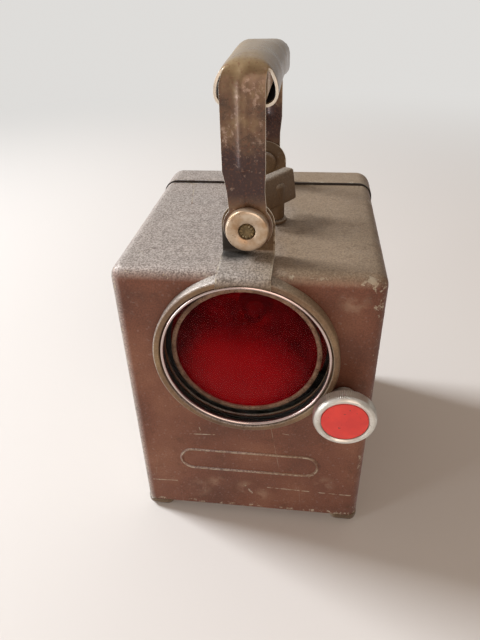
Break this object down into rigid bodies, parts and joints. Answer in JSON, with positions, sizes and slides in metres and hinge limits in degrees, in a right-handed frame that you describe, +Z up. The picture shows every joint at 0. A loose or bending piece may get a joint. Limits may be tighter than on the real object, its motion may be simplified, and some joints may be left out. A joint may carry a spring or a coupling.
{
  "type": "railroad hand lantern",
  "caption": "Square sheet-steel signalling hand lantern with a round lens, swinging red filter, bail handle, rotary switch and a hinged rear battery cover.",
  "frame": {"origin": "on the floor, in the middle of the overall width and depth", "axes": "+X to the right seen from the front, +Y from the lens to the rear cover, +Z up"},
  "size_m": [0.1444, 0.1674, 0.258],
  "materials": {
    "painted_steel": "brown-grey hammered paint, worn",
    "chromed_steel": "polished, lightly dulled",
    "aluminium": "turned, aged",
    "rusty_steel": "brown paint worn to rust",
    "zinc_steel": "zinc plated, dull",
    "brass": "plain, dulled",
    "clear_glass": "clear",
    "red_glass": "deep red, polished",
    "red_enamel": "smooth red enamel",
    "silvered": "silvered inside",
    "rubber": "matte black",
    "insulator": "dark brown moulded board",
    "battery_jacket": "plain printed card and plastic wrap",
    "wire_cover": "dull red insulation"
  },
  "bodies": {
    "case": {"case_shell": "painted_steel", "front_left_foot": "painted_steel", "front_right_foot": "painted_steel", "rear_left_foot": "painted_steel", "rear_right_foot": "painted_steel", "lens_bezel": "painted_steel", "lens_retaining_ring": "chromed_steel", "front_glass": "clear_glass", "lens_gasket": "rubber", "lamp_bulkhead": "zinc_steel", "reflector": "silvered", "bulb_glass": "clear_glass", "bulb_base": "brass", "bulb_holder": "insulator", "bulb_contact": "brass", "filter_bush": "brass", "filter_detent_spring": "zinc_steel", "front_handle_bracket": "painted_steel", "rear_handle_bracket": "painted_steel", "front_pivot_cap": "aluminium", "rear_pivot_cap": "aluminium", "front_pivot_rivet": "zinc_steel", "rear_pivot_rivet": "zinc_steel", "switch_bush": "zinc_steel", "switch_body": "insulator", "switch_lug_left": "brass", "switch_lug_right": "brass", "lower_hinge_case_leaf": "zinc_steel", "upper_hinge_case_leaf": "zinc_steel", "lower_hinge_pin": "zinc_steel", "upper_hinge_pin": "zinc_steel", "latch_pivot": "zinc_steel", "battery_tray": "zinc_steel", "battery": "battery_jacket", "battery_centre_terminal": "brass", "battery_corner_terminal": "brass", "centre_contact": "brass", "corner_contact": "brass", "terminal_board": "insulator", "board_bracket": "zinc_steel", "lamp_wire": "wire_cover", "board_wire": "wire_cover"},
    "cover": {"rear_cover": "painted_steel", "cover_gasket": "rubber", "battery_pressure_spring": "zinc_steel", "lower_hinge_cover_leaf": "zinc_steel", "upper_hinge_cover_leaf": "zinc_steel", "latch_stud": "zinc_steel"},
    "handle": {"bail_handle": "rusty_steel"},
    "filter": {"filter_frame": "rusty_steel", "filter_glass": "red_glass", "filter_shaft": "zinc_steel", "filter_shaft_clip": "zinc_steel", "filter_knob": "aluminium", "filter_knob_disc": "red_enamel"},
    "switch": {"switch_knob": "painted_steel", "switch_spindle": "zinc_steel"},
    "latch": {"latch_lever": "zinc_steel"}
  },
  "joints": [
    {"name": "handle_swing", "type": "hinge", "parent": "case", "child": "handle", "pos_m": [0, 0, 0.186], "axis": [0, 1, 0], "range_deg": [-90, 90]},
    {"name": "filter_turn", "type": "hinge", "parent": "case", "child": "filter", "pos_m": [0.0496, -0.06, 0.102], "axis": [0, -1, 0], "range_deg": [0, 85]},
    {"name": "switch_turn", "type": "hinge", "parent": "case", "child": "switch", "pos_m": [0.0092, -0.00315, 0.18], "axis": [0, 0, 1], "range_deg": [0, 90]},
    {"name": "cover_swing", "type": "hinge", "parent": "case", "child": "cover", "pos_m": [-0.0694, 0.0544, 0.09], "axis": [0, 0, 1], "range_deg": [0, 110]},
    {"name": "latch_swing", "type": "hinge", "parent": "case", "child": "latch", "pos_m": [0.0676, 0.03585, 0.089], "axis": [1, 0, 0], "range_deg": [0, 90]}
  ]
}
